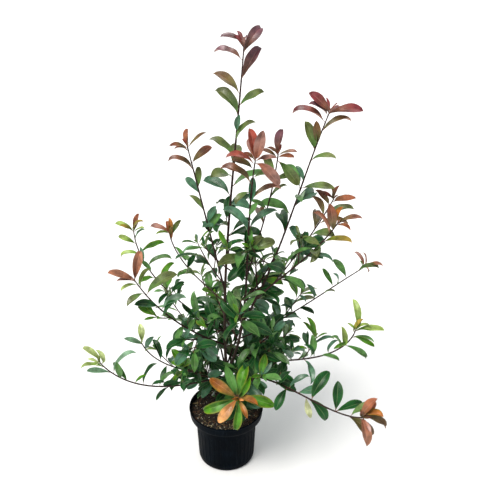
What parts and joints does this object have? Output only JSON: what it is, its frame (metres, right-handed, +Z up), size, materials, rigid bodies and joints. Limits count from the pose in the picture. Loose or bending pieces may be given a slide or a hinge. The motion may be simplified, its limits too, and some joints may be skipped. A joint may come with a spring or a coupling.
{
  "type": "potted photinia shrub",
  "caption": "Young evergreen photinia shrub with red new leaves, several open leafy shoots from a short trunk, growing in a round black nursery pot.",
  "frame": {"origin": "centre of the flat underside of the pot", "axes": "+Z up along the trunk, +Y away from the viewer, +X to the right as seen from the front"},
  "size_m": [0.6969, 0.6537, 1.1325],
  "materials": {
    "pot": "satin black moulded plastic",
    "soil": "dark crumbly compost with bark bits",
    "bark": "dark reddish brown young bark",
    "green": "leathery dark green",
    "lime": "yellow green young leaf",
    "bronze": "bronze leaf",
    "rust": "rusty orange leaf",
    "coral": "coral red young leaf",
    "crimson": "crimson young leaf",
    "plum": "dusky plum young leaf"
  },
  "bodies": {
    "root": {"back_left": "bark", "back_left_leaves": "green", "back_right": "bark", "back_right_leaves": "green", "centre_stem": "bark", "centre_stem_leaves": "coral", "centre_stem_spur_1_leaves": "green", "centre_stem_spur_2_leaves": "green", "centre_stem_spur_3_leaves": "green", "centre_stem_spur_4_leaves": "green", "centre_stem_spur_5_leaves": "green", "front_left_leaves": "green", "front_right_leaves": "green", "front_shoot": "bark", "front_shoot_leaves": "lime", "inner_shoot_leaves": "coral", "leader": "bark", "leader_leaves": "plum", "leader_spur_1_leaves": "green", "leader_spur_2_leaves": "green", "leader_spur_3_leaves": "green", "leader_spur_4_leaves": "green", "leader_spur_5_leaves": "green", "left_front": "bark", "left_front_leaves": "lime", "left_leader": "bark", "left_leader_leaves": "rust", "left_low": "bark", "left_low_leaves": "lime", "left_middle": "bark", "left_middle_leaves": "coral", "left_middle_spur_1_leaves": "green", "left_second": "bark", "left_second_leaves": "lime", "left_upper": "bark", "left_upper_leaves": "lime", "pot": "pot", "rear_left_leaves": "green", "rear_right_leaves": "green", "right_front": "bark", "right_front_leaves": "bronze", "right_front_spur_1_leaves": "green", "right_leader": "bark", "right_leader_leaves": "crimson", "right_leader_spur_1_leaves": "green", "right_leader_spur_2_leaves": "green", "right_low": "bark", "right_low_leaves": "lime", "right_low_spur_1_leaves": "green", "right_thin": "bark", "right_thin_leaves": "bronze", "right_twin_leaves": "coral", "right_upper": "bark", "right_upper_leaves": "coral", "soil": "soil", "trunk": "bark", "trunk_spur_1_leaves": "green", "trunk_spur_2_leaves": "green", "trunk_spur_3_leaves": "green"}
  },
  "joints": []
}
